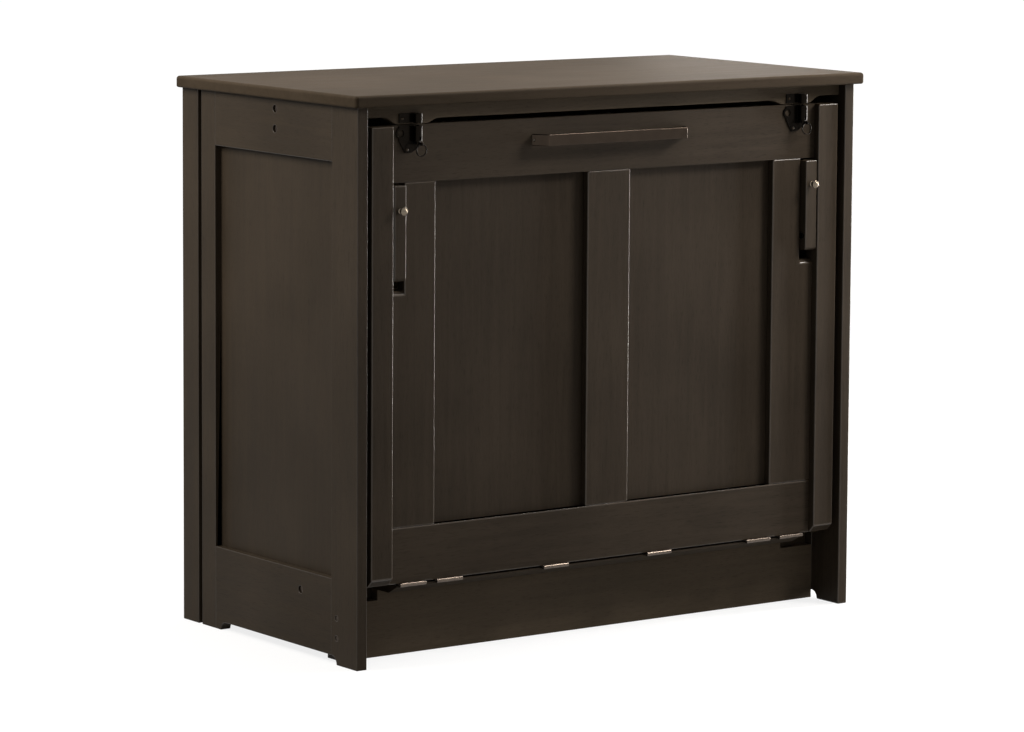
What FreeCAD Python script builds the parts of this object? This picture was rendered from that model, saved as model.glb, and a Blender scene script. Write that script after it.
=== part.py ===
import FreeCAD, Part
import os
from math import cos, pi, sin

# Cabinet bed, closed. Millimetres, +Z up, X across the front, +Y towards the back.
# It is drawn with the floor at z = 0, the middle of the width at x = 0 and the front faces
# of the feet at y = 0. Saving moves it back, so the origin is midway along the whole depth.

V = FreeCAD.Vector

# ---- driving dimensions -------------------------------------------------------------
HEIGHT = 1050.0          # floor to the top board's upper face
WIDTH = 1164.0           # over the outer faces of the side frames
DEPTH = 600.0            # front plane to the back of the back posts
BOARD = 22.0             # thickness of every solid wood board
PLY = 6.0                # thickness of the framed panels
GROOVE = 8.0             # how deep a framed panel sits in its frame

TOP_OVERHANG_SIDE = 14.0
TOP_OVERHANG_FRONT = 15.0
TOP_OVERHANG_BACK = 3.0
TOP_CORNER_R = 7.0
TOP_EDGE_R = 6.0
TOP_LOWER_EDGE_R = 4.0

FRONT_STILE_W = 84.0
REAR_STILE_FROM = 483.0
REAR_STILE_TO = 532.0
BACK_POST_FROM = 544.0   # the dark groove lies between the rear stile and this post
SIDE_TOP_RAIL_H = 103.0
SIDE_RAIL_LOW = 16.0     # clearance of the bottom rail over the floor
SIDE_RAIL_HIGH = 159.0
FOOT_W = 67.0            # width of a foot on the floor
SIDE_PANEL_RECESS = 14.0

DOOR_FACE = 20.0         # the door's outer face lies this far behind the front plane
DOOR_LOW = 147.0
DOOR_HIGH = 991.0
DOOR_HALF = 499.0        # half the width of the framed part of the door
DOOR_BOTTOM_RAIL_TOP = 251.0
DOOR_TOP_RAIL_LOW = 886.0
DOOR_STILE_INNER = 397.0
CENTRE_STILE_W = 100.0
DOOR_PANEL_RECESS = 15.5
RAIL_W = 48.0            # the thick outer rails that the bed platform stands on
RAIL_FACE = 6.0
RAIL_TOP = 990.5
RAIL_BEVEL = 14.0

HINGE_Y = 15.5           # axis that the door falls forward about
HINGE_Z = 145.25
HINGE_CENTRES = (122.5, 366.5, 448.5)
HINGE_LENGTH = 58.0
KNUCKLE_R = 4.0
PIN_R = 1.95
RUNNING_CLEARANCE = 0.05
LEAF_T = 1.5

LEG_T = 21.0             # fold-out leg, front to back
LEG_OUTER = 497.0
LEG_INNER = 470.0
LEG_FACE = 7.5
LEG_TOP = 882.0
LEG_HEEL = 28.0          # how far the leg runs past its pivot
LEG_HEEL_R = 7.0
SLOT_INNER = 466.0
SLOT_LOW = 688.0
LEG_PIN_R = 4.0
FLOOR_GAP = 0.5          # a leg that is folded out stops this far over the floor

DECK_TOP = 185.7         # sleeping surface of all three platform sections
DECK_SLAT_T = 14.0
LEDGE_LOW = 127.0
LEDGE_HALF = 480.0
LEDGE_FACE = 22.0
LEDGE_LIP = 3.0          # upright strip of the ledge's face over its undercut
LEDGE_UNDERCUT_TO = 48.0
TOE_FACE = 84.0
TOE_T = 20.0
TOE_LOW = 1.0
TOE_NOTCH = 107.0        # top of the plinth board beyond the ledge's ends
TOE_BLOCK_T = 25.0

FOLD_Y = 57.5            # axis that the foot section unfolds about
FOLD_Z = 987.0
FOLD_REACH = 460.0       # length of the foot section beyond that axis
FOOT_HALF = 480.0
FOOT_SLAT_T = 12.0
FOOT_RAIL_T = 19.0
FOOT_LEG_Z = 600.0       # pivot of the foot section's leg frame
FOOT_LEG_Y = 80.0
FOOT_LEG_R = 8.5
FOOT_PIN_R = 3.5

MATTRESS_T = 104.0       # one of the three foam sections, stored upright
MATTRESS_FRONT = 262.0
MATTRESS_HALF = 495.0
MATTRESS_H = 620.0

BOLT_HEAD_R = 7.0        # cap bolts in the sides, and the counterbores over them
KNOB_REACH = 17.5        # how far a leg's knob stands out from the leg's face

# ---- derived places -----------------------------------------------------------------
OUTER = WIDTH / 2
INNER = OUTER - BOARD
UNDER_TOP = HEIGHT - BOARD
DOOR_BACK = DOOR_FACE + BOARD
RAIL_OUTER = DOOR_HALF + RAIL_W
LEDGE_TOP = HINGE_Z - LEAF_T - 0.25
LEG_PIVOT_Y = LEG_FACE + LEG_T / 2
LEG_PIVOT_Z = LEG_TOP - (HINGE_Z + LEG_PIVOT_Y - HINGE_Y - FLOOR_GAP)
BACK_FACE = DEPTH - BOARD
SIDES = (-1, 1)
TO_ORIGIN = V(0, -(DEPTH + TOP_OVERHANG_BACK - TOP_OVERHANG_FRONT) / 2, 0)


# ---- helpers ------------------------------------------------------------------------
def box(x0, x1, y0, y1, z0, z1):
    """Box between two corners, given in any order."""
    low = V(min(x0, x1), min(y0, y1), min(z0, z1))
    return Part.makeBox(abs(x1 - x0), abs(y1 - y0), abs(z1 - z0), low)


def rod(radius, start, end):
    """Cylinder from one point to another."""
    axis = end - start
    return Part.makeCylinder(radius, axis.Length, start, axis)


def arc(start, middle, end):
    return Part.Arc(start, middle, end).toShape()


def line(start, end):
    return Part.LineSegment(start, end).toShape()


def prism(edges, direction):
    """Solid swept from a closed outline."""
    return Part.Face(Part.Wire(edges)).extrude(direction)


def polygon(points, direction):
    """Prism over a closed outline of straight edges."""
    return prism([line(a, b) for a, b in zip(points, points[1:] + points[:1])], direction)


def round_edges(shape, radius, chosen):
    """Fillet the edges for which chosen(edge) is true."""
    return shape.makeFillet(radius, [edge for edge in shape.Edges if chosen(edge)])


def upright(edge):
    """True for a straight edge that runs along Z."""
    first, last = edge.Vertexes[0].Point, edge.Vertexes[-1].Point
    return abs(first.x - last.x) < 0.01 and abs(first.y - last.y) < 0.01


def spread(first, last, count):
    """Evenly spaced values, both ends included."""
    return [first + (last - first) * i / (count - 1) for i in range(count)]


def save(name, *solids):
    """Write one sub-part: a single solid or a group of separate ones."""
    shape = solids[0] if len(solids) == 1 else Part.makeCompound(list(solids))
    shape = shape.translated(TO_ORIGIN)
    shape.exportStep("parts/" + name + ".step")
    print(name, len(shape.Solids), "valid" if shape.isValid() else "INVALID")


# ---- cabinet ------------------------------------------------------------------------
def top_board():
    board = box(
        -OUTER - TOP_OVERHANG_SIDE, OUTER + TOP_OVERHANG_SIDE,
        -TOP_OVERHANG_FRONT, DEPTH + TOP_OVERHANG_BACK, UNDER_TOP, HEIGHT,
    )
    board = round_edges(board, TOP_CORNER_R, upright)
    board = round_edges(board, TOP_EDGE_R, lambda e: e.BoundBox.ZMin > HEIGHT - 0.01)
    return round_edges(board, TOP_LOWER_EDGE_R, lambda e: e.BoundBox.ZMax < UNDER_TOP + 0.01)


def fascia():
    """Front header whose lower edge drops in an S-curve to a tab over each latch."""
    middle, tab, outer = UNDER_TOP - 27.0, DOOR_HIGH + 1.0, UNDER_TOP - 22.0
    tab_in, tab_out, ease_in, ease_out = 424.0, 478.0, 388.0, 515.0

    def s_curve(x0, z0, x1, z1):
        """Two arcs that leave and arrive level."""
        mid = V((x0 + x1) / 2, DOOR_FACE, (z0 + z1) / 2)
        bow = (z1 - z0) / 8
        quarter, three = V((3 * x0 + x1) / 4, DOOR_FACE, z0 + bow), V((x0 + 3 * x1) / 4, DOOR_FACE, z1 - bow)
        return [arc(V(x0, DOOR_FACE, z0), quarter, mid), arc(mid, three, V(x1, DOOR_FACE, z1))]

    def at(x, z):
        return V(x, DOOR_FACE, z)

    edges = [line(at(-INNER, UNDER_TOP), at(-INNER, outer)), line(at(-INNER, outer), at(-ease_out, outer))]
    edges += s_curve(-ease_out, outer, -tab_out, tab)
    edges.append(line(at(-tab_out, tab), at(-tab_in, tab)))
    edges += s_curve(-tab_in, tab, -ease_in, middle)
    edges.append(line(at(-ease_in, middle), at(ease_in, middle)))
    edges += s_curve(ease_in, middle, tab_in, tab)
    edges.append(line(at(tab_in, tab), at(tab_out, tab)))
    edges += s_curve(tab_out, tab, ease_out, outer)
    edges += [line(at(ease_out, outer), at(INNER, outer)), line(at(INNER, outer), at(INNER, UNDER_TOP))]
    edges.append(line(at(INNER, UNDER_TOP), at(-INNER, UNDER_TOP)))
    return prism(edges, V(0, BOARD, 0))


def side_frame(side):
    """Stiles, rails and framed panel of one side, outer faces flush."""
    x, thick = side * OUTER, V(-side * BOARD, 0, 0)
    top_low = UNDER_TOP - SIDE_TOP_RAIL_H
    curve = FRONT_STILE_W - FOOT_W
    bend = curve * (1 - cos(pi / 4))
    rise = SIDE_RAIL_LOW

    def at(y, z):
        return V(x, y, z)

    front = prism([
        line(at(0, 0), at(0, UNDER_TOP)), line(at(0, UNDER_TOP), at(FRONT_STILE_W, UNDER_TOP)),
        line(at(FRONT_STILE_W, UNDER_TOP), at(FRONT_STILE_W, rise)),
        arc(at(FRONT_STILE_W, rise), at(FOOT_W + bend, rise * sin(pi / 4)), at(FOOT_W, 0)),
        line(at(FOOT_W, 0), at(0, 0)),
    ], thick)
    rear_foot = REAR_STILE_TO - FOOT_W
    bottom = prism([
        line(at(FRONT_STILE_W, rise), at(FRONT_STILE_W, SIDE_RAIL_HIGH)),
        line(at(FRONT_STILE_W, SIDE_RAIL_HIGH), at(REAR_STILE_FROM, SIDE_RAIL_HIGH)),
        line(at(REAR_STILE_FROM, SIDE_RAIL_HIGH), at(REAR_STILE_FROM, 0)),
        line(at(REAR_STILE_FROM, 0), at(rear_foot, 0)),
        arc(at(rear_foot, 0), at(rear_foot - bend, rise * sin(pi / 4)), at(rear_foot - curve, rise)),
        line(at(rear_foot - curve, rise), at(FRONT_STILE_W, rise)),
    ], thick)
    rear = box(x, side * INNER, REAR_STILE_FROM, REAR_STILE_TO, 0, UNDER_TOP)
    top = box(x, side * INNER, FRONT_STILE_W, REAR_STILE_FROM, top_low, UNDER_TOP)
    face = OUTER - SIDE_PANEL_RECESS
    panel = box(
        side * face, side * (face - PLY), FRONT_STILE_W - GROOVE, REAR_STILE_FROM + GROOVE,
        SIDE_RAIL_HIGH - GROOVE, top_low + GROOVE,
    )
    return [piece.cut(panel) for piece in (front, rear, top, bottom)] + [panel]


def back_frame():
    """Posts, rails, panel and the recessed spacers that leave the groove in each side."""
    rail_h, foot = 90.0, SIDE_RAIL_LOW
    posts = [box(s * OUTER, s * INNER, BACK_POST_FROM, DEPTH, 0, UNDER_TOP) for s in SIDES]
    spacers = [
        box(s * (OUTER - 10.0), s * INNER, REAR_STILE_TO, BACK_POST_FROM, 0, UNDER_TOP) for s in SIDES
    ]
    top = box(-INNER, INNER, BACK_FACE, DEPTH, UNDER_TOP - rail_h, UNDER_TOP)
    bottom = box(-INNER, INNER, BACK_FACE, DEPTH, foot, foot + rail_h)
    face = BACK_FACE + GROOVE
    panel = box(
        -INNER - GROOVE, INNER + GROOVE, face, face + PLY,
        foot + rail_h - GROOVE, UNDER_TOP - rail_h + GROOVE,
    )
    return [p.cut(panel) for p in posts], spacers, top.cut(panel), bottom.cut(panel), panel


def toe_board():
    """Plinth board, cut down beyond the ends of the ledge that it carries."""
    board = box(-INNER, INNER, TOE_FACE, TOE_FACE + TOE_T, TOE_LOW, LEDGE_LOW)
    for s in SIDES:
        board = board.cut(box(s * LEDGE_HALF, s * OUTER, 0, DEPTH, TOE_NOTCH, HEIGHT))
    return board


def toe_corner_blocks():
    """Blocks that tie the plinth board to the side frames and close the corners behind it."""
    back = TOE_FACE + TOE_T
    return [
        box(s * INNER, s * LEDGE_HALF, back, back + TOE_BLOCK_T, TOE_LOW, LEDGE_TOP - 0.5)
        for s in SIDES
    ]


def hinge_ledge():
    """Ledge under the door, its face undercut so that only a thin lip shows."""
    low_lip = LEDGE_TOP - LEDGE_LIP
    back = TOE_FACE + TOE_T
    points = [
        V(-LEDGE_HALF, LEDGE_FACE, LEDGE_TOP), V(-LEDGE_HALF, LEDGE_FACE, low_lip),
        V(-LEDGE_HALF, LEDGE_UNDERCUT_TO, LEDGE_LOW), V(-LEDGE_HALF, back, LEDGE_LOW),
        V(-LEDGE_HALF, back, LEDGE_TOP),
    ]
    return polygon(points, V(2 * LEDGE_HALF, 0, 0))


def deck():
    """Fixed platform section: front rail, cleats, bearer and slats inside the cabinet."""
    under = DECK_TOP - DECK_SLAT_T
    front_rail = box(-538.0, 538.0, 66.0, 88.0, LEDGE_TOP, under)
    cleats = [box(s * INNER, s * 538.0, 130.0, BACK_FACE, 105.0, under) for s in SIDES]
    cleats.append(box(-538.0, 538.0, BACK_FACE - BOARD, BACK_FACE, 105.0, under))
    bearer = box(-15.0, 15.0, 88.0, BACK_FACE - BOARD, LEDGE_TOP, under)
    slats = [box(-559.0, 559.0, y, y + 58.0, under, DECK_TOP) for y in spread(44.0, BACK_FACE - 58.0, 7)]
    return front_rail, cleats, bearer, slats


def side_bolts():
    """Cap bolts through the side frames into the cross rail and the deck cleats."""
    places = ((275.0, 1008.0), (275.0, 971.0), (188.0, 122.0))
    bolts = []
    for s in SIDES:
        for y, z in places:
            head = rod(BOLT_HEAD_R, V(s * (OUTER - 3.0), y, z), V(s * (OUTER - 7.0), y, z))
            shank = rod(3.0, V(s * (OUTER - 7.0), y, z), V(s * (OUTER - 42.0), y, z))
            bolts.append(head.fuse(shank))
    return bolts


def stile_pins():
    """Pegs that pin the bottom rail's tenon in the front stile, heads sunk a little."""
    return [
        rod(5.0, V(s * (OUTER - 1.5), FOOT_W, z), V(s * (OUTER - 16.0), FOOT_W, z))
        for s in SIDES for z in (50.0, 87.0)
    ]


def bored(piece, fasteners, head_r=BOLT_HEAD_R):
    """Cut each fastener and the open counterbore over its head out of a piece."""
    for fastener in fasteners:
        box_ = fastener.BoundBox
        side = 1 if box_.XMax > 0 else -1
        outer = box_.XMax if side > 0 else -box_.XMin
        centre = V(side * outer, box_.Center.y, box_.Center.z)
        piece = piece.cut(fastener).cut(rod(head_r, centre, centre + V(side * 20.0, 0, 0)))
    return piece


# ---- hinges -------------------------------------------------------------------------
def hinge(x, y, z, leaf_depth, direction, offset, thick):
    """Butt hinge folded shut, axis along X: outer and middle leaf, and pin.

    direction is the unit vector that both leaves run along from the axis, and offset is
    the unit vector from the axis towards the outer leaf.
    """
    half = HINGE_LENGTH / 2
    third = HINGE_LENGTH / 6
    gap = 0.1

    def knuckle(x0, x1, hole):
        a, b = V(x + x0, y, z), V(x + x1, y, z)
        return rod(KNUCKLE_R, a, b).cut(rod(hole, a, b))

    def leaf(sign, x0, x1):
        near = offset * (sign * 0.25) + direction * (PIN_R + 0.5)
        far = offset * (sign * (0.25 + thick)) + direction * leaf_depth
        return box(x + x0, x + x1, y + near.y, y + far.y, z + near.z, z + far.z)

    slot_wide = third + gap
    bore = rod(PIN_R + RUNNING_CLEARANCE, V(x - half, y, z), V(x + half, y, z))
    clear_mid = rod(KNUCKLE_R + 0.4, V(x - slot_wide, y, z), V(x + slot_wide, y, z))
    outer = leaf(1, -half, half).cut(clear_mid)
    for x0, x1 in ((-half, -slot_wide), (slot_wide, half)):
        outer = outer.fuse(knuckle(x0, x1, PIN_R))
    outer = outer.removeSplitter()
    middle = leaf(-1, -half, half)
    for x0, x1 in ((-half - 1, -third + gap), (third - gap, half + 1)):
        middle = middle.cut(rod(KNUCKLE_R + 0.4, V(x + x0, y, z), V(x + x1, y, z)))
    middle = middle.fuse(knuckle(-third + gap, third - gap, PIN_R + RUNNING_CLEARANCE))
    middle = middle.cut(bore).removeSplitter()
    pin = rod(PIN_R, V(x - half, y, z), V(x + half, y, z))
    return outer.cut(pin), middle, pin


def door_hinges():
    """Six butt hinges between the ledge and the door's bottom edge."""
    centres = [s * c for s in SIDES for c in HINGE_CENTRES]
    reach = DOOR_BACK - HINGE_Y
    sets = [hinge(x, HINGE_Y, HINGE_Z, reach, V(0, 1, 0), V(0, 0, -1), LEAF_T) for x in centres]
    return [list(group) for group in zip(*sets)]


def fold_hinges():
    """Three butt hinges between the door's deck and the foot section's deck."""
    down, outer_leaf = V(0, 0, -1), V(0, -1, 0)
    sets = [
        hinge(x, FOLD_Y, FOLD_Z, 44.0, down, outer_leaf, LEAF_T - 0.25)
        for x in (-330.0, 0.0, 330.0)
    ]
    return [list(group) for group in zip(*sets)]


# ---- door, which is the middle platform section -------------------------------------
def door_frame():
    """Rails, stiles and two framed panels."""
    face = DOOR_FACE + DOOR_PANEL_RECESS
    half_centre = CENTRE_STILE_W / 2
    panels = [
        box(s * (half_centre - GROOVE), s * (DOOR_STILE_INNER + GROOVE), face, face + PLY,
            DOOR_BOTTOM_RAIL_TOP - GROOVE, DOOR_TOP_RAIL_LOW + GROOVE)
        for s in SIDES
    ]
    pieces = {
        "door_top_rail": box(-DOOR_HALF, DOOR_HALF, DOOR_FACE, DOOR_BACK, DOOR_TOP_RAIL_LOW, DOOR_HIGH),
        "door_bottom_rail": box(-DOOR_HALF, DOOR_HALF, DOOR_FACE, DOOR_BACK, DOOR_LOW, DOOR_BOTTOM_RAIL_TOP),
        "door_centre_stile": box(
            -half_centre, half_centre, DOOR_FACE, DOOR_BACK, DOOR_BOTTOM_RAIL_TOP, DOOR_TOP_RAIL_LOW),
    }
    for s, name in zip(SIDES, ("left", "right")):
        stile = box(
            s * DOOR_STILE_INNER, s * DOOR_HALF, DOOR_FACE, DOOR_BACK,
            DOOR_BOTTOM_RAIL_TOP, DOOR_TOP_RAIL_LOW)
        pieces[name + "_door_stile"] = stile.cut(leg_slot(s))
    for name in pieces:
        for panel in panels:
            pieces[name] = pieces[name].cut(panel)
    return pieces, panels


def leg_slot(side):
    """Space cut out of the stile for the folded leg, its lower lip chamfered to the front."""
    lip = 7.0
    points = [
        V(0, DOOR_FACE - 1, DOOR_TOP_RAIL_LOW), V(0, DOOR_BACK + 1, DOOR_TOP_RAIL_LOW),
        V(0, DOOR_BACK + 1, SLOT_LOW), V(0, DOOR_FACE + lip, SLOT_LOW), V(0, DOOR_FACE, SLOT_LOW - lip),
        V(0, DOOR_FACE - 1, SLOT_LOW - lip),
    ]
    slot = polygon(points, V(DOOR_HALF - SLOT_INNER, 0, 0))
    slot.translate(V(SLOT_INNER if side > 0 else -DOOR_HALF, 0, 0))
    return slot


def platform_rail(side):
    """Thick outer rail of the door, its lower end bevelled at the front."""
    points = [
        V(0, RAIL_FACE, RAIL_TOP), V(0, DOOR_BACK, RAIL_TOP), V(0, DOOR_BACK, DOOR_LOW),
        V(0, RAIL_FACE + RAIL_BEVEL, DOOR_LOW), V(0, RAIL_FACE, DOOR_LOW + RAIL_BEVEL),
    ]
    rail = polygon(points, V(RAIL_W, 0, 0))
    rail.translate(V(DOOR_HALF if side > 0 else -RAIL_OUTER, 0, 0))
    return rail


def door_slats():
    return [
        box(-455.0, 455.0, DOOR_BACK, DOOR_BACK + DECK_SLAT_T, z, z + 70.0)
        for z in spread(190.0, 905.0, 7)
    ]


def handle():
    """Bridge pull bent from flat strap, its feet splayed outwards."""
    strap, low, high = 5.0, 940.0, 962.0
    bar_half, foot_half, front = 163.0, 181.0, -9.5
    rise = DOOR_FACE - front
    lean = (foot_half - bar_half) / rise
    inner_bar = bar_half - strap * 0.72
    inner_foot = foot_half - strap * (1 + lean * lean) ** 0.5
    points = [
        V(-foot_half, DOOR_FACE, low), V(-bar_half, front, low), V(bar_half, front, low),
        V(foot_half, DOOR_FACE, low), V(inner_foot, DOOR_FACE, low),
        V(inner_bar, front + strap, low), V(-inner_bar, front + strap, low), V(-inner_foot, DOOR_FACE, low),
    ]
    pull = polygon(points, V(0, 0, high - low))

    def outer_bend(edge):
        return upright(edge) and edge.BoundBox.YMax < front + 0.01

    return round_edges(pull, 3.0, outer_bend)


def handle_screws():
    """Pan head screws through the door's top rail into the pull's feet."""
    screws = []
    for s in SIDES:
        x, z = s * 177.5, 951.0
        shank = rod(1.8, V(x, DOOR_FACE - 4.0, z), V(x, DOOR_BACK - 2.0, z))
        head = rod(4.0, V(x, DOOR_BACK - 2.0, z), V(x, DOOR_BACK, z))
        screws.append(shank.fuse(head))
    return screws


# ---- latches ------------------------------------------------------------------------
LATCH_X = (-443.5, 462.5)    # barrel axes: the two latches are the same hand
LATCH_Y = 10.5
LATCH_LEFT = 36.5            # how far the plates reach from the barrel's axis to each side
LATCH_RIGHT = 8.5
BARREL_R = 8.5
BARREL_LOW = 961.0
BARREL_SLOT_HIGH = 970.0     # the bolt's lug runs up into this slot
BOLT_R = 4.5
BOLT_LOW = 955.0             # the bolt is drawn down; it slides up 9 mm into its keeper
LUG_HALF_T = 1.5
RING_Y = -0.5                # where the ring hangs in the bolt's lug
RING_Z = 956.5
RING_R = 11.0
RING_WIRE_R = 1.2
PLATE_T = 2.5
SCREW_HEAD_R = 3.6


def latch_body(x):
    """Backing plate with an eye and a tapered tail, and the slotted barrel of the bolt."""
    left, right, low, high = x - LATCH_LEFT, x + LATCH_RIGHT, 940.0, DOOR_HIGH - 1.5
    face = DOOR_FACE - PLATE_T

    def at(px, pz):
        return V(px, face, pz)

    eye_r, eye_hole_r = 10.5, 6.5
    eye = at(left + 4.0, 976.0)
    plate = prism([
        line(at(left, high), at(right, high)), line(at(right, high), at(right, 950.0)),
        line(at(right, 950.0), at(x - 9.0, low)), line(at(x - 9.0, low), at(left + 13.0, low)),
        line(at(left + 13.0, low), at(left, 962.0)), line(at(left, 962.0), at(left, high)),
    ], V(0, PLATE_T, 0))
    plate = plate.fuse(rod(eye_r, eye, eye + V(0, PLATE_T, 0)))
    plate = plate.cut(rod(eye_hole_r, eye, eye + V(0, PLATE_T, 0)))
    barrel = rod(BARREL_R, V(x, LATCH_Y, BARREL_LOW), V(x, LATCH_Y, high))
    saddle = box(x - BARREL_R, x + BARREL_R, LATCH_Y, face, BARREL_LOW, high)
    bore = rod(BOLT_R + RUNNING_CLEARANCE, V(x, LATCH_Y, 900.0), V(x, LATCH_Y, HEIGHT))
    slot_half = LUG_HALF_T + 0.5
    slot = box(x - slot_half, x + slot_half, 0, LATCH_Y, BARREL_LOW - 1, BARREL_SLOT_HIGH)
    return plate.fuse(saddle).fuse(barrel).cut(bore).cut(slot).removeSplitter()


def latch_keeper(x):
    """Plate and socket on the header's tab that the raised bolt enters."""
    low, high = DOOR_HIGH + 3.5, DOOR_HIGH + 21.0
    face = DOOR_FACE - PLATE_T
    plate = box(x - LATCH_LEFT, x + LATCH_RIGHT, face, DOOR_FACE, low, high)
    socket = rod(BARREL_R, V(x, LATCH_Y, low), V(x, LATCH_Y, high))
    saddle = box(x - BARREL_R, x + BARREL_R, LATCH_Y, face, low, high)
    bore = rod(BOLT_R + 0.5, V(x, LATCH_Y, 900.0), V(x, LATCH_Y, high - 2.0))
    return plate.fuse(saddle).fuse(socket).cut(bore).removeSplitter()


def domed_screw(x, z):
    """Round head on a plate's face, shank running into the wood behind."""
    start = V(x, DOOR_FACE - PLATE_T, z)
    centre = start + V(0, SCREW_HEAD_R / 2, 0)
    head = Part.makeSphere(SCREW_HEAD_R, centre, V(0, -1, 0), 30.0, 90.0, 360.0)
    return head.fuse(rod(1.5, start - V(0, 0.5, 0), start + V(0, 14.0, 0))).removeSplitter()


def latch_bolt(x):
    """Round bolt whose lower end has a flat lug to the front, bored for the ring."""
    bolt = rod(BOLT_R, V(x, LATCH_Y, BOLT_LOW), V(x, LATCH_Y, DOOR_HIGH))
    tip = Part.makeCone(BOLT_R, BOLT_R - 1.5, 1.5, V(x, LATCH_Y, DOOR_HIGH - 1.5))
    bolt = bolt.cut(rod(BOLT_R + 1, V(x, LATCH_Y, DOOR_HIGH - 1.5), V(x, LATCH_Y, DOOR_HIGH))).fuse(tip)
    margin = 3.0
    lug = box(x - LUG_HALF_T, x + LUG_HALF_T, RING_Y - margin, LATCH_Y, RING_Z - margin, RING_Z + margin)
    hole = rod(RING_WIRE_R + 0.3, V(x - 5, RING_Y, RING_Z), V(x + 5, RING_Y, RING_Z))
    return bolt.fuse(lug).cut(hole).removeSplitter()


def latch_ring(x):
    return Part.makeTorus(RING_R, RING_WIRE_R, V(x, RING_Y, RING_Z - RING_R), V(0, 1, 0))


# ---- fold-out legs ------------------------------------------------------------------
def door_leg(side):
    """Leg that lies in the door's slot, bored for its pivot pin."""
    low = LEG_PIVOT_Z - LEG_HEEL
    leg = box(side * LEG_INNER, side * LEG_OUTER, LEG_FACE, LEG_FACE + LEG_T, low, LEG_TOP)
    heel = [edge for edge in leg.Edges if edge.BoundBox.ZMax < low + 0.01 and edge.BoundBox.XLength > 1]
    leg = leg.makeFillet(LEG_HEEL_R, heel)
    a, b = V(side * SLOT_INNER, LEG_PIVOT_Y, LEG_PIVOT_Z), V(side * DOOR_HALF, LEG_PIVOT_Y, LEG_PIVOT_Z)
    return leg.cut(rod(LEG_PIN_R + RUNNING_CLEARANCE, a, b))


def leg_bolt(side):
    """Shoulder bolt through the leg into the platform rail, its thin head inside the slot."""
    def at(x):
        return V(side * x, LEG_PIVOT_Y, LEG_PIVOT_Z)

    return rod(LEG_PIN_R, at(LEG_INNER - 0.3), at(DOOR_HALF + 21.0)).fuse(
        rod(6.0, at(SLOT_INNER + 0.7), at(LEG_INNER - 0.3)))


def leg_knob(side):
    """Turned pull knob: foot, waist and a rimmed head with a low dome."""
    x, z = side * (LEG_INNER + LEG_OUTER) / 2, 836.0

    def at(radius, height):
        return V(x + radius, LEG_FACE - height, z)

    edges = [
        line(at(0, 0), at(5.5, 0)), line(at(5.5, 0), at(5.5, 1.2)),
        arc(at(5.5, 1.2), at(3.4, 5.5), at(7.75, 11.6)),
        line(at(7.75, 11.6), at(7.75, 13.4)), line(at(7.75, 13.4), at(6.9, 13.9)),
        arc(at(6.9, 13.9), at(4.6, 16.2), at(1.6, KNOB_REACH)),
        line(at(1.6, KNOB_REACH), at(0, KNOB_REACH)), line(at(0, KNOB_REACH), at(0, 0)),
    ]
    return Part.Face(Part.Wire(edges)).revolve(V(x, LEG_FACE, z), V(0, 1, 0), 360)


# ---- foot section, folded against the back of the door ------------------------------
def foot_section():
    """Side rails, cross rails and slats, drawn in the folded position."""
    deck, under = FOLD_Y + 1.5, FOLD_Y + 1.5 + FOOT_SLAT_T
    back = under + FOOT_RAIL_T
    high, low = FOLD_Z - 4.0, FOLD_Z - FOLD_REACH
    rail_points = [V(0, under, high), V(0, under, low), V(0, back, low + 40.0), V(0, back, high - 30.0)]
    rails = []
    for s in SIDES:
        rail = polygon(rail_points, V(BOARD, 0, 0))
        rail.translate(V(FOOT_HALF - BOARD if s > 0 else -FOOT_HALF, 0, 0))
        rails.append(rail)
    half = FOOT_HALF - BOARD
    crosses = [box(-half, half, under, back, z, z + 18.0) for z in (567.0, 779.0, 935.0)]
    slats = [box(-FOOT_HALF, FOOT_HALF, deck, under, z, z + 64.0) for z in spread(low, high - 64.0, 5)]
    return rails, crosses, slats


def foot_leg_frame():
    """Two legs and their stretcher, which swing out together."""
    y0, y1 = FOOT_LEG_Y - FOOT_LEG_R, FOOT_LEG_Y + FOOT_LEG_R
    reach = HINGE_Z + FOOT_LEG_Y - HINGE_Y - 2 * (FOOT_LEG_Y - FOLD_Y) - FLOOR_GAP
    end = FOOT_LEG_Z + reach
    frame = []
    for s in SIDES:
        inner, outer = s * 436.0, s * 456.0
        leg = box(inner, outer, y0, y1, FOOT_LEG_Z, end)
        pivot = V(inner, FOOT_LEG_Y, FOOT_LEG_Z), V(outer, FOOT_LEG_Y, FOOT_LEG_Z)
        heel = rod(FOOT_LEG_R, *pivot)
        hole = rod(FOOT_PIN_R + RUNNING_CLEARANCE, *pivot)
        frame.append(leg.fuse(heel).removeSplitter().cut(hole))
    frame.append(box(-436.0, 436.0, FOOT_LEG_Y - 6.0, FOOT_LEG_Y + 6.0, end - 45.0, end - 20.0))
    return frame


def foot_leg_pins():
    return [
        rod(FOOT_PIN_R, V(s * 436.0, FOOT_LEG_Y, FOOT_LEG_Z), V(s * 470.0, FOOT_LEG_Y, FOOT_LEG_Z))
        for s in SIDES
    ]


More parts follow.
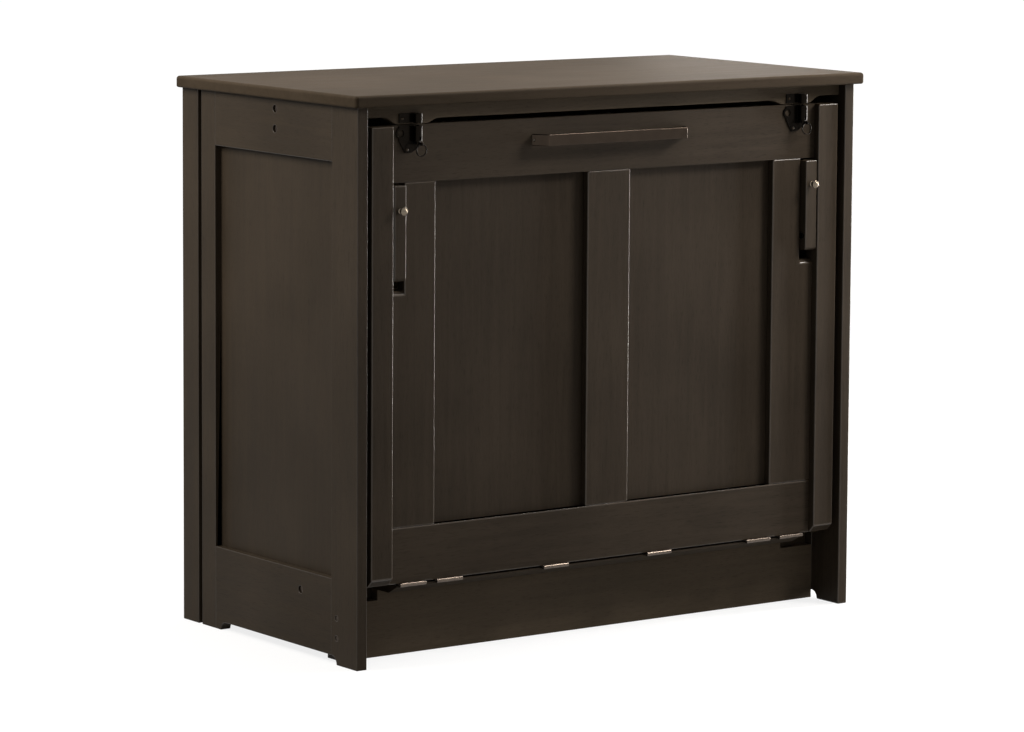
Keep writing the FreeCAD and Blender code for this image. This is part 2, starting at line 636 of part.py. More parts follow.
# ---- mattress -----------------------------------------------------------------------
def mattress_section(index):
    """Upright foam section: its boxing swells between two drawn-in edge seams."""
    front = MATTRESS_FRONT + index * (MATTRESS_T + 1.0)
    stations = ((0.0, 16.0), (5.0, 6.0), (20.0, 1.0), (52.0, 0.0), (84.0, 1.0), (99.0, 6.0), (104.0, 16.0))
    low, corner = DECK_TOP + 0.3, 30.0
    wires = []
    for y, inset in stations:
        x, z0, z1, r = MATTRESS_HALF - inset, low + inset, low + MATTRESS_H - inset, corner
        k = r * (1 - cos(pi / 4))

        def at(px, pz):
            return V(px, front + y, pz)

        wires.append(Part.Wire([
            line(at(-x + r, z0), at(x - r, z0)), arc(at(x - r, z0), at(x - k, z0 + k), at(x, z0 + r)),
            line(at(x, z0 + r), at(x, z1 - r)), arc(at(x, z1 - r), at(x - k, z1 - k), at(x - r, z1)),
            line(at(x - r, z1), at(-x + r, z1)), arc(at(-x + r, z1), at(-x + k, z1 - k), at(-x, z1 - r)),
            line(at(-x, z1 - r), at(-x, z0 + r)), arc(at(-x, z0 + r), at(-x + k, z0 + k), at(-x + r, z0)),
        ]))
    return Part.makeLoft(wires, True, True)


# ---- assembly -----------------------------------------------------------------------
def main():
    os.makedirs("parts", exist_ok=True)

    bolts, pins = side_bolts(), stile_pins()
    plate_screws = [domed_screw(x - 19.0, 946.0) for x in LATCH_X]
    keeper_screws = [domed_screw(x - 30.0, DOOR_HIGH + 12.0) for x in LATCH_X]
    save("top_board", top_board())
    header = fascia()
    for screw in keeper_screws:
        header = header.cut(screw)
    save("fascia", header)
    save("top_cross_rail", bored(box(-INNER, INNER, 264.0, 286.0, 955.0, UNDER_TOP), bolts))
    fronts, rears, tops, bottoms, panels = zip(*[side_frame(s) for s in SIDES])
    for front, name in zip(fronts, ("left", "right")):
        save(name + "_front_stile", bored(front, pins, 5.0))
    save("side_rear_stiles", *rears)
    save("side_top_rails", *[bored(rail, bolts) for rail in tops])
    for bottom, name in zip(bottoms, ("left", "right")):
        save(name + "_bottom_rail", bored(bottom, bolts))
    save("side_panels", *panels)
    save("side_bolts", *bolts)
    save("stile_pins", *pins)

    posts, spacers, back_top, back_bottom, back_panel = back_frame()
    save("back_posts", *posts)
    save("back_spacers", *spacers)
    save("back_rails", back_top, back_bottom)
    save("back_panel", back_panel)

    save("toe_board", toe_board())
    save("toe_corner_blocks", *toe_corner_blocks())
    save("hinge_ledge", hinge_ledge())
    front_rail, cleats, bearer, slats = deck()
    save("deck_front_rail", front_rail)
    save("deck_cleats", *[bored(cleat, bolts) for cleat in cleats])
    save("deck_bearer", bearer)
    save("deck_slats", *slats)

    fixed, moving, hinge_pins = door_hinges()
    save("hinge_leaves_fixed", *fixed)
    save("hinge_leaves_door", *moving)
    save("hinge_pins", *hinge_pins)

    pieces, door_panels = door_frame()
    screws = handle_screws()
    leg_bolts = [leg_bolt(s) for s in SIDES]
    for name, piece in pieces.items():
        for fastener in screws + plate_screws:
            piece = piece.cut(fastener)
        save(name, piece)
    save("door_panels", *door_panels)
    for s, name, pivot in zip(SIDES, ("left", "right"), leg_bolts):
        save(name + "_platform_rail", platform_rail(s).cut(pivot))
        save(name + "_leg", door_leg(s))
        save(name + "_leg_knob", leg_knob(s))
    save("leg_bolts", *leg_bolts)
    save("door_slats", *door_slats())
    pull = handle()
    for screw in screws:
        pull = pull.cut(screw)
    save("handle", pull)
    save("handle_screws", *screws)

    for x, name in zip(LATCH_X, ("left", "right")):
        save(name + "_latch_bolt", latch_bolt(x))
        save(name + "_latch_ring", latch_ring(x))
    save("latch_bodies", *[latch_body(x).cut(screw) for x, screw in zip(LATCH_X, plate_screws)])
    save("latch_keepers", *[latch_keeper(x).cut(screw) for x, screw in zip(LATCH_X, keeper_screws)])
    save("latch_screws", *plate_screws)
    save("keeper_screws", *keeper_screws)

    door_leaves, foot_leaves, fold_pins = fold_hinges()
    rails, crosses, foot_slats = foot_section()
    foot_pins = foot_leg_pins()
    save("fold_hinge_door_leaves", *door_leaves, *fold_pins)
    save("fold_hinge_foot_leaves", *foot_leaves)
    save("foot_side_rails", *[rail.cut(pin) for rail, pin in zip(rails, foot_pins)])
    save("foot_cross_rails", *crosses)
    save("foot_slats", *foot_slats)
    save("foot_leg_frame", *foot_leg_frame())
    save("foot_leg_pins", *foot_pins)

    for index, name in enumerate(("head", "middle", "foot")):
        save("mattress_" + name, mattress_section(index))


main()
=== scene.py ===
# %% [markdown]
# # A cabinet bed in the studio
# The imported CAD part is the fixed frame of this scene: it gives every solid its size, its place and
# the body it moves with. Blender adds what a drawing can't say: eased edges, stained wood, plated
# steel, a sewn mattress, a lens and some light. All numbers are metres in the part's own frame, with
# +X across the front, +Y towards the back, +Z up and the floor at zero.

# %% Load the frame and keep its size
from math import pi, radians

import bmesh
import bpy
import numpy as np
from mathutils import Matrix
from mathutils.bvhtree import BVHTree


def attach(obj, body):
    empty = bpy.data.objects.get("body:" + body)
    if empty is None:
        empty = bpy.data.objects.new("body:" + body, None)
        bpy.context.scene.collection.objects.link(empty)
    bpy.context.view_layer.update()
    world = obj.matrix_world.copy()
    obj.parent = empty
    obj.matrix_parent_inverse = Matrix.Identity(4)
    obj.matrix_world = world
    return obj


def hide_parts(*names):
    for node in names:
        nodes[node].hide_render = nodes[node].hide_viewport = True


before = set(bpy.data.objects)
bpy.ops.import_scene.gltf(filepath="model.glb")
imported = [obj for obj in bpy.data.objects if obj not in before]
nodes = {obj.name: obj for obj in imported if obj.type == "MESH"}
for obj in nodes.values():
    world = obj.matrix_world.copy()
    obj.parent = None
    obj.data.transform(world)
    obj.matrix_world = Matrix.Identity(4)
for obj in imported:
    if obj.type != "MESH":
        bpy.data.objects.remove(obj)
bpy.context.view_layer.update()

MM = 0.001

# %% [markdown]
# ## Camera
# A lens is found from a photograph by fitting the cabinet's straight edges to it. That gave a long
# lens a little over eight metres away, turned 36 degrees to the front and looking slightly down. The
# photo was cropped, which a small lens shift repeats.

# %% Camera
IMAGE_WIDTH, IMAGE_HEIGHT = 1024, 732
FOCAL_PX, CENTRE_PX = 4340.0, (519.7, 266.6)     # focal length and lens axis, in pixels of the photo
SENSOR = 36.0                                    # millimetres, as Blender takes it
CAMERA_PLACE = (-4.9062, -6.7446, 1.6359)
YAW, PITCH, ROLL = radians(35.99), radians(6.56), radians(0.36)

lens = bpy.data.cameras.new("long_lens")
lens.sensor_width = SENSOR
lens.lens = FOCAL_PX / IMAGE_WIDTH * SENSOR
lens.shift_x = (IMAGE_WIDTH / 2 - CENTRE_PX[0]) / IMAGE_WIDTH
lens.shift_y = (CENTRE_PX[1] - IMAGE_HEIGHT / 2) / IMAGE_WIDTH
lens.clip_end = 100.0
camera = bpy.data.objects.new("camera", lens)
turn = (Matrix.Rotation(-YAW, 3, "Z") @ Matrix.Rotation(pi / 2 - PITCH, 3, "X")
        @ Matrix.Rotation(ROLL, 3, "Z"))
camera.matrix_world = Matrix.Translation(CAMERA_PLACE) @ turn.to_4x4()
bpy.context.scene.collection.objects.link(camera)
bpy.context.scene.camera = camera
print("lens, mm:", round(lens.lens, 1), "shift:", round(lens.shift_x, 4), round(lens.shift_y, 4))

# %% [markdown]
# ## Helpers for colours and node trees
# A colour is picked as sRGB hex, which is how a screen shows it, and a shader works in linear light,
# so one function turns the one into the other. One more adds a node with its settings and links.

# %% Small helpers for node trees
def linear(hex_colour):
    """sRGB hex to linear RGBA: c / 12.92 up to 0.04045, else ((c + 0.055) / 1.055) ^ 2.4."""
    parts = np.array([int(hex_colour[i:i + 2], 16) for i in (1, 3, 5)]) / 255.0
    rgb = np.where(parts <= 0.04045, parts / 12.92, ((parts + 0.055) / 1.055) ** 2.4)
    return (*rgb.tolist(), 1.0)


def add(tree, kind, inputs=None, **settings):
    """Add one node: settings are its properties, inputs are socket values or other nodes' outputs."""
    node = tree.nodes.new(kind)
    for key, value in settings.items():
        setattr(node, key, value)
    for key, value in (inputs or {}).items():
        socket = node.inputs[key]
        if isinstance(value, bpy.types.NodeSocket):
            tree.links.new(value, socket)
        else:
            socket.default_value = value
    return node


WHITE = linear("#FFFFFF")
print("mid grey in linear light:", round(linear("#808080")[0], 3))

# %% [markdown]
# ## White studio
# The cabinet stands before pure white. A world that bright would wash out dark wood, so its strength
# is 1 only where a ray comes from the lens, a reflection or a pane: metal mirrors the white room,
# while the light that falls on the wood stays at a plain level.

# %% World: white where it is seen or mirrored, dim as a light
STUDIO_FILL = 0.20      # the world's strength as a light


def seen_or_mirrored(tree):
    """1 for rays of the lens, of a reflection and through a pane, and 0 for all others."""
    path = add(tree, "ShaderNodeLightPath")
    seen = add(tree, "ShaderNodeMath", {0: path.outputs["Is Camera Ray"],
                                        1: path.outputs["Is Glossy Ray"]}, operation="MAXIMUM")
    seen = add(tree, "ShaderNodeMath", {0: seen.outputs[0],
                                        1: path.outputs["Is Transmission Ray"]}, operation="MAXIMUM")
    return seen.outputs[0]


world = bpy.data.worlds.new("white_studio")
world.use_nodes = True
tree = world.node_tree
tree.nodes.clear()
strength = add(tree, "ShaderNodeMapRange", {"Value": seen_or_mirrored(tree), "To Min": STUDIO_FILL,
                                            "To Max": 1.0})
sky = add(tree, "ShaderNodeBackground", {"Color": WHITE, "Strength": strength.outputs[0]})
add(tree, "ShaderNodeOutputWorld", {"Surface": sky.outputs[0]})
bpy.context.scene.world = world
bpy.context.scene.view_settings.view_transform = "Standard"
print("world: 1 where seen,", STUDIO_FILL, "as a light")

# %% [markdown]
# ## Lamps
# The handle's shadow falls to the left and down, so the key light stands well round to the right, a
# third of the way up, and near enough to fall off across the front. A tall strip at the right draws
# the bright upright lines on the barrels, the handle's bend and the rubbed edges. A narrow strip high
# on the right is what the camera sees mirrored in every upper edge that runs across the front: the
# handle's, the rails' and the hinges'. A low front fill opens the space under the door, a lamp behind
# the front's plane on the left lights the side alone, and one straight above makes the top twice as
# bright as the front. A rim lamp behind on the right draws the far front edge and keeps the back from
# going black.

# %% Lamps
def softbox(name, place, target, size, watts, colour):
    """Rectangular area lamp at place, facing target, its first side level."""
    lamp = bpy.data.lights.new(name, "AREA")
    lamp.shape = "RECTANGLE"
    lamp.size, lamp.size_y = size
    lamp.energy = watts
    lamp.color = linear(colour)[:3]
    holder = bpy.data.objects.new(name, lamp)
    away = np.array(place) - np.array(target)
    z = away / np.linalg.norm(away)
    x = np.cross((0, 0, 1), z)
    x /= np.linalg.norm(x)
    y = np.cross(z, x)
    rows = np.stack([x, y, z, place], 1).tolist()
    holder.matrix_world = Matrix([*rows, [0.0, 0.0, 0.0, 1.0]])
    bpy.context.scene.collection.objects.link(holder)
    return holder


FRONT_LIGHT, SIDE_LIGHT, TOP_LIGHT = "#FFFAF5", "#FFFAF2", "#FFF7EB"
lamps = [
    # name, place, what it faces, width and height, watts, colour
    softbox("key", (1.43, -1.16, 1.84), (0.0, -0.28, 0.75), (0.5, 0.5), 36, FRONT_LIGHT),
    softbox("strip_right", (2.2, -0.55, 0.7), (0.0, -0.3, 0.7), (0.25, 1.4), 56, FRONT_LIGHT),
    softbox("edge_strip", (1.05, -0.25, 2.5), (0.0, -0.3, 0.9), (1.0, 0.14), 33, FRONT_LIGHT),
    softbox("low_front_fill", (0.3, -2.3, 0.5), (0.0, -0.2, 0.3), (0.8, 0.6), 2, FRONT_LIGHT),
    softbox("side_left", (-2.05, 0.35, 2.0), (-0.6, 0.1, 0.95), (1.1, 1.1), 49, SIDE_LIGHT),
    softbox("rim_right_back", (2.1, 1.9, 0.8), (0.3, 0.2, 0.6), (0.5, 1.4), 22, FRONT_LIGHT),
    softbox("overhead", (-0.5, 0.4, 3.0), (0, 0.15, 1.0), (1.6, 1.2), 37, TOP_LIGHT),
]
print("lamps, watts:", {lamp.name: lamp.data.energy for lamp in lamps})

# %% [markdown]
# ## Floor
# A pale floor has to keep the object's shadow and still meet the white behind it without a line. It is
# a dull grey board that glows a little towards the lens, and fully white a few metres out.

# %% Mesh, object and material helpers
def grid_mesh(name, points, closed_u=False, closed_v=False):
    """Mesh over points of shape (rows, columns, 3), joined row to row and column to column."""
    rows, columns = points.shape[:2]
    index = np.arange(rows * columns).reshape(rows, columns)
    if closed_u:
        index = np.vstack([index, index[:1]])
    if closed_v:
        index = np.hstack([index, index[:, :1]])
    quads = np.stack([index[:-1, :-1], index[:-1, 1:], index[1:, 1:], index[1:, :-1]], -1)
    mesh = bpy.data.meshes.new(name)
    mesh.from_pydata(points.reshape(-1, 3).tolist(), [], quads.reshape(-1, 4).tolist())
    mesh.update()
    return mesh


def show(name, mesh, *materials):
    """Smooth object at the origin, unturned, for a mesh whose points are already in place."""
    piece = bpy.data.objects.new(name, mesh)
    for material in materials:
        mesh.materials.append(material)
    mesh.polygons.foreach_set("use_smooth", np.ones(len(mesh.polygons), bool))
    bpy.context.scene.collection.objects.link(piece)
    return piece


def new_material(name):
    """Empty node material; returns it with its tree and its shader, linked to the output."""
    material = bpy.data.materials.new(name)
    material.use_nodes = True
    inner = material.node_tree
    inner.nodes.clear()
    shader = add(inner, "ShaderNodeBsdfPrincipled")
    add(inner, "ShaderNodeOutputMaterial", {"Surface": shader.outputs[0]})
    return material, inner, shader


# %% Floor: pale, and it keeps the shadow
FLOOR_GREY = 0.20                # dull enough not to throw light back at the wood
FLOOR_GLOW = 0.82                # what the glow adds under the object; the lamps make up the rest
GLOW_FROM, GLOW_TO = 1.0, 3.0    # metres from the middle, between which the glow becomes pure white
FLOOR_REACH = 30.0               # metres to each side

# Matt emulsion on board: rough, with no shine of its own, so only light and shadow show on it.
floor_paint, tree, shader = new_material("matt_studio_floor_white_to_the_lens")
shader.inputs["Base Color"].default_value = (FLOOR_GREY, FLOOR_GREY, FLOOR_GREY, 1.0)
shader.inputs["Roughness"].default_value = 0.9
shader.inputs["Specular IOR Level"].default_value = 0.0
shader.inputs["Emission Color"].default_value = WHITE
place = add(tree, "ShaderNodeTexCoord")
far = add(tree, "ShaderNodeVectorMath", {0: place.outputs["Object"]}, operation="LENGTH")
glow = add(tree, "ShaderNodeMapRange", {"Value": far.outputs["Value"], "From Min": GLOW_FROM,
                                        "From Max": GLOW_TO, "To Min": FLOOR_GLOW, "To Max": 1.0})
glow = add(tree, "ShaderNodeMath", {0: seen_or_mirrored(tree), 1: glow.outputs[0]},
           operation="MULTIPLY")
tree.links.new(glow.outputs[0], shader.inputs["Emission Strength"])
u, v = np.meshgrid(*[np.linspace(-FLOOR_REACH, FLOOR_REACH, 3)] * 2)
floor = show("floor", grid_mesh("floor", np.stack([u, v, np.zeros_like(u)], -1)), floor_paint)
print("floor, metres across:", 2 * FLOOR_REACH)

# %% [markdown]
# ## Stained hardwood
# The boards are a close-grained hardwood under a sprayed espresso stain and a satin lacquer. The stain
# almost hides the figure: what is left is a faint change of tone along the grain and short pores, and
# the lacquer adds a fine ripple. Where an edge was sanded round, the lacquer has been rubbed smooth,
# so an edge catches a lamp as a thin bright line; on the front the edges are also painted paler, which
# is partly a painted highlight. One function makes the material for each direction of the grain,
# because a stile's grain stands up and a rail's lies down, and each board takes its own place in the
# figure, so that two boards never match at a joint.

# %% The figure's axes and its stretched noise
GRAIN_ORDER = {"X": ("X", "Y", "Z"), "Y": ("Y", "X", "Z"), "Z": ("Z", "X", "Y")}
BOARD_SHIFT = 3.0            # metres by which two boards' places in the figure can differ


def along_the_grain(tree, grain):
    """Object coordinates, moved by the board's own random number, with the grain as first axis."""
    place = add(tree, "ShaderNodeTexCoord")
    board = add(tree, "ShaderNodeObjectInfo")
    shift = add(tree, "ShaderNodeMath", {0: board.outputs["Random"], 1: BOARD_SHIFT},
                operation="MULTIPLY")
    moved = add(tree, "ShaderNodeVectorMath", {0: place.outputs["Object"], 1: shift.outputs[0]})
    axes = add(tree, "ShaderNodeSeparateXYZ", {0: moved.outputs[0]})
    order = {i: axes.outputs[axis] for i, axis in enumerate(GRAIN_ORDER[grain])}
    return add(tree, "ShaderNodeCombineXYZ", order).outputs[0]


def stretched_noise(tree, along, width, stretch, **noise):
    """Noise whose spots are width wide and stretch times as long, along the grain."""
    scale = (1 / (width * stretch), 1 / width, 1 / width)
    lines = add(tree, "ShaderNodeMapping", {"Vector": along, "Scale": scale})
    settings = {"Vector": lines.outputs[0], "Scale": 1.0, **noise}
    return add(tree, "ShaderNodeTexNoise", settings).outputs[0]


# %% Wood under stain and lacquer
PORE_WIDTH = 1.3 * MM        # real pores are 0.2 mm wide; drawn wider so that they show
PORE_STRETCH = 14.0          # how many times longer than wide a pore is
FIGURE_WIDTH = 16 * MM       # bands of early and late wood
FIGURE_STRETCH = 17.0
MOTTLE = 250 * MM            # broad patches that took more or less stain
RIPPLE = 2.2 * MM            # waves that a sprayed lacquer dries with
RELIEF = 0.3 * MM            # height of pores, figure and ripple together


def wood(name, grain, dark, light, gloss, shine, depth=0.12, pore_tone=0.7):
    """Noise stretched along the grain colours the wood, and fine stretched noise presses in pores.

    gloss is the lacquer's roughness, shine its specular level, depth the strength of the relief and
    pore_tone how dark a pore is.
    """
    material, tree, shader = new_material(name)
    along = along_the_grain(tree, grain)
    figure = stretched_noise(tree, along, FIGURE_WIDTH, FIGURE_STRETCH, Detail=5.0, Roughness=0.62,
                             Distortion=0.9)
    pores = stretched_noise(tree, along, PORE_WIDTH, PORE_STRETCH, Detail=2.0, Roughness=0.5)
    mottle = add(tree, "ShaderNodeTexNoise", {"Vector": along, "Scale": 1 / MOTTLE, "Detail": 2.0})
    ripple = add(tree, "ShaderNodeTexNoise", {"Vector": along, "Scale": 1 / RIPPLE, "Detail": 1.0})
    # Colour: figure and mottle mix the two stains, and the pores darken them.
    tone = add(tree, "ShaderNodeMath", {0: figure, 1: mottle.outputs[0]}, operation="ADD")
    tone = add(tree, "ShaderNodeMapRange", {"Value": tone.outputs[0], "From Min": 0.72,
                                            "From Max": 1.28})
    stain = add(tree, "ShaderNodeMix", {"Factor": tone.outputs[0], "A": linear(dark),
                                        "B": linear(light)}, data_type="RGBA")
    filled = add(tree, "ShaderNodeMapRange", {"Value": pores, "From Min": 0.30, "From Max": 0.44})
    shade = add(tree, "ShaderNodeMapRange", {"Value": filled.outputs[0], "To Min": pore_tone})
    colour = add(tree, "ShaderNodeVectorMath", {0: stain.outputs["Result"],
                                                "Scale": shade.outputs[0]}, operation="SCALE")
    tree.links.new(colour.outputs[0], shader.inputs["Base Color"])
    # Gloss: late wood dries a little duller than early wood.
    rough = add(tree, "ShaderNodeMapRange", {"Value": figure, "From Min": 0.3, "From Max": 0.7,
                                             "To Min": gloss - 0.04, "To Max": gloss + 0.06})
    tree.links.new(rough.outputs[0], shader.inputs["Roughness"])
    # Relief: all three patterns press into one bump.
    height = add(tree, "ShaderNodeMath", {0: figure, 1: filled.outputs[0]}, operation="ADD")
    height = add(tree, "ShaderNodeMath", {0: height.outputs[0], 1: ripple.outputs[0]},
                 operation="ADD")
    bump = add(tree, "ShaderNodeBump", {"Height": height.outputs[0], "Strength": depth,
                                        "Distance": RELIEF})
    tree.links.new(bump.outputs[0], shader.inputs["Normal"])
    shader.inputs["Specular IOR Level"].default_value = shine
    return material


# %% The cabinet's woods
ESPRESSO = ("#2E271F", "#393128")
PAINTED_HIGHLIGHT_EDGE = ("#3A3126", "#463B2F")
TOP_WITH_PAINTED_SHEEN = ("#31291F", "#3C3329")
PAINTED_FILL_BOARD = ("#494034", "#564B3E")


def each_grain(name, *finish):
    """The same finish for boards whose grain runs along X, Y and Z."""
    return {axis: wood(name + "_grain_" + axis, axis, *finish) for axis in "XYZ"}


# Faces of beech, sprayed with stain and satin lacquer: nearly black brown with a soft, wide sheen.
espresso = each_grain("espresso_stained_beech", *ESPRESSO, 0.5, 0.05)
# Edges of the side frames, sanded round and rubbed: the same colour, but they catch a lamp.
rubbed = each_grain("lacquer_rubbed_smooth_on_edge", *ESPRESSO, 0.3, 0.2, 0.04)
# Edges of the front, where the stain is rubbed thin as well: they draw pale, bright lines. The paler
# colour is partly a painted highlight for the lamps' reflection on these edges; the side frames'
# edges keep the dark stain.
pale = each_grain("stain_rubbed_thin_on_edge", *PAINTED_HIGHLIGHT_EDGE, 0.22, 0.28, 0.04)
# The top is rubbed matt, because it is seen almost along its surface, where a sheen shows most. Its
# stain is a touch lighter than the faces': a painted sheen for the light the top catches from above.
top_finish = wood("espresso_beech_rubbed_matt_top", "X", *TOP_WITH_PAINTED_SHEEN, 0.6, 0.03)
# The plinth and the header, both always in shadow, are painted lighter than the rest: painted light
# that stands in for the fill they lack.
painted_fill_board = wood("espresso_beech_painted_lighter_for_shade", "X", *PAINTED_FILL_BOARD, 0.5, 0.05)
print("stained wood:", [material.name for material in espresso.values()])

# %% [markdown]
# ## Bare slats
# Slats and foot section are planed poplar without any finish, since nobody sees them once the mattress
# is on. Bare wood is pale and dull, and its pores show more than under lacquer, so the same function
# gets a higher roughness, a deeper relief and lighter colours.

# %% Platform wood
POPLAR = ("#A08563", "#BCA480")
bare = each_grain("planed_poplar", *POPLAR, 0.6, 0.3, 0.2, 0.8)
print("bare wood:", [material.name for material in bare.values()])

# %% [markdown]
# ## Plated steel
# Hinges, latches and screws are stamped or turned steel with a thin plated skin. Plating is bright
# where it is smooth, and fine grit from handling breaks its reflections up. So each metal has one
# colour, a roughness that wanders with the grit, and slow patches where it has tarnished.

# %% Metals
GRIT = 1.2 * MM              # real grit is finer; drawn this coarse so that it shows
TARNISH = 60.0               # patches to a metre
SCRATCH_DEEP = 0.05 * MM


def metal(name, colour, roughness, scratch):
    """Fine noise of the grit's size moves roughness and height, and slow noise the colour."""
    material, tree, shader = new_material(name)
    place = add(tree, "ShaderNodeTexCoord").outputs["Object"]
    fine = add(tree, "ShaderNodeTexNoise", {"Vector": place, "Scale": 1 / GRIT, "Detail": 4.0})
    broad = add(tree, "ShaderNodeTexNoise", {"Vector": place, "Scale": TARNISH, "Detail": 3.0})
    shade = add(tree, "ShaderNodeMapRange", {"Value": broad.outputs[0], "From Min": 0.3,
                                             "From Max": 0.7, "To Min": 0.88, "To Max": 1.06})
    tint = add(tree, "ShaderNodeVectorMath", {0: linear(colour)[:3], "Scale": shade.outputs[0]},
               operation="SCALE")
    tree.links.new(tint.outputs[0], shader.inputs["Base Color"])
    rough = add(tree, "ShaderNodeMapRange", {"Value": fine.outputs[0], "From Min": 0.3,
                                             "From Max": 0.7, "To Min": roughness - 0.06,
                                             "To Max": roughness + 0.08})
    tree.links.new(rough.outputs[0], shader.inputs["Roughness"])
    bump = add(tree, "ShaderNodeBump", {"Height": fine.outputs[0], "Strength": scratch,
                                        "Distance": SCRATCH_DEEP})
    tree.links.new(bump.outputs[0], shader.inputs["Normal"])
    shader.inputs["Metallic"].default_value = 1.0
    return material


# Fold hinges and hidden screws, bright zinc on steel: light grey, a little cloudy.
zinc = metal("bright_zinc_plated_steel", "#A09A90", 0.30, 0.25)
# Side bolts and pegs, dark bronze plating, hardly lighter than the wood round them.
bronze = metal("bronze_plated_bolt_steel", "#30271E", 0.28, 0.1)
# Butt hinges, satin nickel: their knuckles show as short bright lines under the door.
hinge_nickel = metal("satin_nickel_hinge_steel", "#5A5149", 0.22, 0.1)
# Leg knobs, die-cast zinc alloy under nickel, polished by hands.
nickel = metal("aged_nickel_plated_zamak", "#6E6558", 0.20, 0.15)
# Latches, black nickel: nearly black, with one sharp light along each barrel.
black_nickel = metal("black_nickel_plated_steel", "#13100D", 0.24, 0.12)
# The pull, dark nickel: its face takes the wood's tone, and its upper edge mirrors a lamp.
dark_nickel = metal("dark_nickel_plated_handle", "#362E27", 0.20, 0.08)
# Latch screws, blackened in oil: dark, with a dull shine.
dark_screw = metal("blackened_screw_steel", "#2A241D", 0.3, 0.2)
# Slat screws, yellow zinc: a warm glint on the bare slats.
plated_screw = metal("yellow_zinc_plated_screw", "#B39C6C", 0.32, 0.2)
metals = (zinc, bronze, hinge_nickel, nickel, black_nickel, dark_nickel, dark_screw, plated_screw)
print("metals:", [material.name for material in metals])

# %% [markdown]
# ## Dressing the solids
# A joiner breaks every sharp edge with sandpaper, and a stamped or cast metal piece comes with its
# edges already soft. A solid from CAD has perfect edges, which no light can catch. A bevel modifier
# rounds them and leaves the solid itself alone, and it can give the rounding a material of its own:
# that is where the rubbed lacquer goes, and on the front a paler stain that is partly a painted
# highlight.

# %% Ease the edges of a solid
JOIN = 0.01 * MM                 # points nearer than this are one
SAME_FACE = radians(0.3)         # triangles within this angle are one flat face
SHARP = radians(30)


def ease(piece, width, segments, edge_slot=0):
    """Round the sharp edges of a solid, optionally in its next material.

    The loose triangles are first joined into whole faces, so that an edge is rounded evenly.
    """
    weld = piece.modifiers.new("join_triangles", "WELD")
    weld.merge_threshold = JOIN
    whole = piece.modifiers.new("whole_faces", "DECIMATE")
    whole.decimate_type = "DISSOLVE"
    whole.angle_limit = SAME_FACE
    bevel = piece.modifiers.new("eased_edges", "BEVEL")
    bevel.width = width
    bevel.segments = segments
    bevel.limit_method = "ANGLE"
    bevel.angle_limit = SHARP
    bevel.use_clamp_overlap = False
    bevel.material = edge_slot
    bevel.face_strength_mode = "FSTR_AFFECTED"
    flat = piece.modifiers.new("flat_faces_stay_flat", "WEIGHTED_NORMAL")
    flat.use_face_influence = True
    return piece


def dress(name, *materials):
    """Give a CAD node its materials in slot order."""
    piece = nodes[name]
    piece.data.materials.clear()
    for material in materials:
        piece.data.materials.append(material)
    return piece


# %% Which wood, which way
FRONT = {
    "X": ["door_bottom_rail"],
    "Z": ["right_front_stile", "door_centre_stile", "left_door_stile", "right_door_stile",
          "left_platform_rail", "right_platform_rail", "left_leg", "right_leg"],
}
CARCASE = {
    "X": ["back_rails", "top_cross_rail"],
    "Y": ["side_top_rails", "left_bottom_rail", "right_bottom_rail"],
    "Z": ["left_front_stile", "side_rear_stiles", "side_panels", "back_posts", "back_spacers",
          "back_panel", "door_panels"],
}
PLATFORM = {
    "X": ["deck_front_rail", "deck_slats", "door_slats", "foot_cross_rails", "foot_slats"],
    "Y": ["deck_cleats", "deck_bearer"],
    "Z": ["foot_side_rails", "foot_leg_frame"],
}
FRONT_EASED, EASED, TOP_EASED = 2.4 * MM, 1.2 * MM, 0.4 * MM
BOARD_STEPS, SMALL_STEPS, HANDLE_STEPS = 3, 2, 4     # flats in one rounded edge
EDGE_SLOT = 1                                        # a rounding's material follows the face's

# Front edges get the paler stain, partly a painted highlight; the carcase's edges only the rubbed
# lacquer.
for group, edges, width in ((FRONT, pale, FRONT_EASED), (CARCASE, rubbed, EASED)):
    for axis, names in group.items():
        for name in names:
            ease(dress(name, espresso[axis], edges[axis]), width, BOARD_STEPS, EDGE_SLOT)
for axis, names in PLATFORM.items():
    for name in names:
        ease(dress(name, bare[axis]), EASED, BOARD_STEPS)
ease(dress("top_board", top_finish, rubbed["X"]), TOP_EASED, SMALL_STEPS, EDGE_SLOT)
# Header and plinth take the lighter colour: painted light against the shade they stand in.
ease(dress("fascia", painted_fill_board), EASED, BOARD_STEPS)
# The plinth, its ledge and the blocks behind them meet along lines: crisp edges let no light through.
dress("toe_board", painted_fill_board)
dress("hinge_ledge", espresso["X"])
dress("toe_corner_blocks", espresso["Z"])
print("eased boards:", sum("eased_edges" in piece.modifiers for piece in nodes.values()))

# %% [markdown]
# ## The door's top rail
# Two screws of the pull come through this rail from behind. Their small round rims would be rounded
# like the rail's long edges and tear the face between them. So the rail is shown by a copy that rides
# with the door, in which only long edges carry a bevel weight and the rims stay crisp.

# %% An eased copy for the rail with screw holes
SHORTEST_BOARD_EDGE = 5 * MM     # anything shorter is part of a hole's rim


def joined_copy(name):
    """A CAD node's mesh in its place, with its loose triangles joined; returns mesh and bmesh."""
    mesh = nodes[name].data.copy()
    mesh.transform(nodes[name].matrix_world)
    mesh.materials.clear()
    work = bmesh.new()
    work.from_mesh(mesh)
    bmesh.ops.remove_doubles(work, verts=work.verts, dist=JOIN)
    return mesh, work


